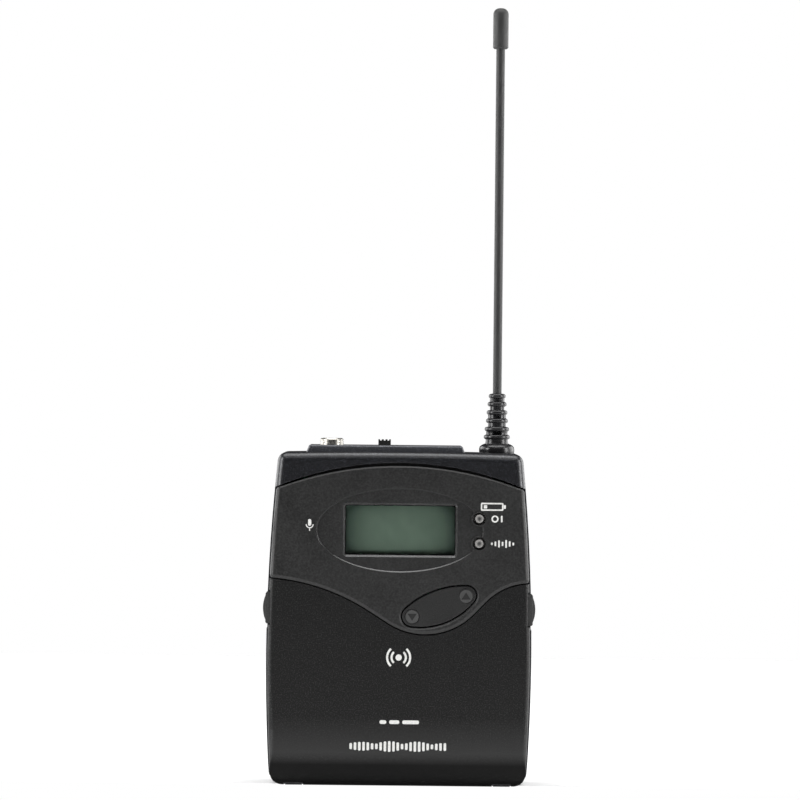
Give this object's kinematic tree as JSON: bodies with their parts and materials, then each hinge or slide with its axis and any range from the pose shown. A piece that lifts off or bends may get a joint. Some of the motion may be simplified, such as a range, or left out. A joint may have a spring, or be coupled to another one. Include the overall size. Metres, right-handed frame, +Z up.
{
  "type": "wireless bodypack transmitter",
  "caption": "Pocket-size wireless microphone transmitter: metal housing with display panel, hinged battery door, belt clip and whip antenna.",
  "frame": {"origin": "middle of the housing's bottom face, on the plane the pack stands on", "axes": "+X to the wearer's left of the front face (right as seen from the front), -Y to the front, +Z up along the antenna"},
  "size_m": [0.065, 0.028, 0.1871],
  "materials": {
    "housing_paint": "fine metallic blue-black paint",
    "plate_paint": "fine metallic blue-black paint",
    "panel_plastic": "matte dark grey moulding",
    "door_plastic": "near-black speckled texture",
    "inner_plastic": "black moulding",
    "key_plastic": "dark grey key",
    "catch_plastic": "satin black",
    "window_glass": "clear hard-coated window",
    "display_glass": "grey-green liquid-crystal cell",
    "light_guide": "milky acrylic",
    "foam": "closed-cell foam",
    "indicator": "smoky clear plastic",
    "board_green": "solder mask",
    "chip_black": "moulded chip",
    "tin": "tinned steel",
    "nickel": "polished nickel",
    "spring_steel": "spring steel",
    "black_steel": "black-coated spring wire",
    "brass_parts": "bare brass",
    "gold_contact": "gold-plated contact",
    "rubber_black": "glossy black rubber",
    "whip_coating": "dark grey flexible coating",
    "cell_wrap": "printed cell sleeve, blank",
    "wire_insulation": "lead insulation",
    "label_film": "blank label film",
    "slider_plastic": "satin black",
    "print_ink": "white printed symbols"
  },
  "bodies": {
    "root": {"rear_housing": "housing_paint", "connector_plate": "plate_paint", "front_panel": "panel_plastic", "display_window": "window_glass", "display_gasket": "foam", "display_frame": "inner_plastic", "display_glass": "display_glass", "display_light_guide": "light_guide", "power_light": "indicator", "peak_light": "indicator", "light_chips": "light_guide", "main_board": "board_green", "shield_can": "tin", "board_chips": "chip_black", "board_connectors": "inner_plastic", "rocker_switches": "tin", "button_switches": "tin", "board_screws": "spring_steel", "panel_screws": "black_steel", "jack_body": "inner_plastic", "jack_bushing": "nickel", "jack_nut": "nickel", "jack_contacts": "tin", "mute_switch_body": "tin", "antenna_ferrule": "brass_parts", "antenna_nut": "brass_parts", "antenna_feed": "gold_contact", "antenna_boot": "rubber_black", "antenna_whip": "whip_coating", "antenna_core": "spring_steel", "antenna_tip": "whip_coating", "battery_tray": "inner_plastic", "battery_lower": "cell_wrap", "battery_upper": "cell_wrap", "contact_plates": "nickel", "link_contact": "nickel", "contact_springs": "spring_steel", "battery_leads": "wire_insulation", "charging_contacts": "gold_contact", "control_ledge": "inner_plastic", "rocker_pin": "spring_steel", "rocker_seals": "rubber_black", "clip_bushings": "inner_plastic", "rear_label": "label_film"},
    "door": {"battery_door": "door_plastic", "hinge_pins": "spring_steel", "door_liner": "inner_plastic", "battery_pad": "foam", "catch_spring_right": "spring_steel", "catch_spring_left": "spring_steel"},
    "right_catch": {"catch_right": "catch_plastic"},
    "left_catch": {"catch_left": "catch_plastic"},
    "rocker_key": {"rocker": "key_plastic"},
    "on_key": {"on_button": "key_plastic"},
    "set_key": {"set_button": "key_plastic"},
    "mute_knob": {"mute_slider": "slider_plastic"},
    "clip": {"belt_clip": "black_steel"}
  },
  "joints": [
    {"name": "door_hinge", "type": "hinge", "parent": "root", "child": "door", "pos_m": [0, -0.0045, 0.0017], "axis": [1, 0, 0], "range_deg": [0, 100]},
    {"name": "right_catch_slide", "type": "slide", "parent": "door", "child": "right_catch", "axis": [1, 0, 0], "range_m": [-0.0011, 0], "stiffness_N_per_m": 600, "springref_m": 0.0003, "deforming": ["catch_spring_right"]},
    {"name": "left_catch_slide", "type": "slide", "parent": "door", "child": "left_catch", "axis": [-1, 0, 0], "range_m": [-0.0011, 0], "stiffness_N_per_m": 600, "springref_m": 0.0003, "deforming": ["catch_spring_left"]},
    {"name": "rocker_tilt", "type": "hinge", "parent": "root", "child": "rocker_key", "pos_m": [0.0096, -0.0092, 0.04355], "axis": [-0.3652, 0, 0.9309], "range_deg": [-3, 3], "stiffness_Nm_per_rad": 0.02},
    {"name": "on_button_press", "type": "slide", "parent": "root", "child": "on_key", "axis": [0, 1, 0], "range_m": [0, 0.00035], "stiffness_N_per_m": 700},
    {"name": "set_button_press", "type": "slide", "parent": "root", "child": "set_key", "axis": [0, 1, 0], "range_m": [0, 0.00035], "stiffness_N_per_m": 700},
    {"name": "mute_slide", "type": "slide", "parent": "root", "child": "mute_knob", "axis": [1, 0, 0], "range_m": [-0.002, 0]},
    {"name": "clip_hinge", "type": "hinge", "parent": "root", "child": "clip", "pos_m": [0, 0.0088, 0.062], "axis": [1, 0, 0], "range_deg": [0, 12], "stiffness_Nm_per_rad": 2.5}
  ]
}
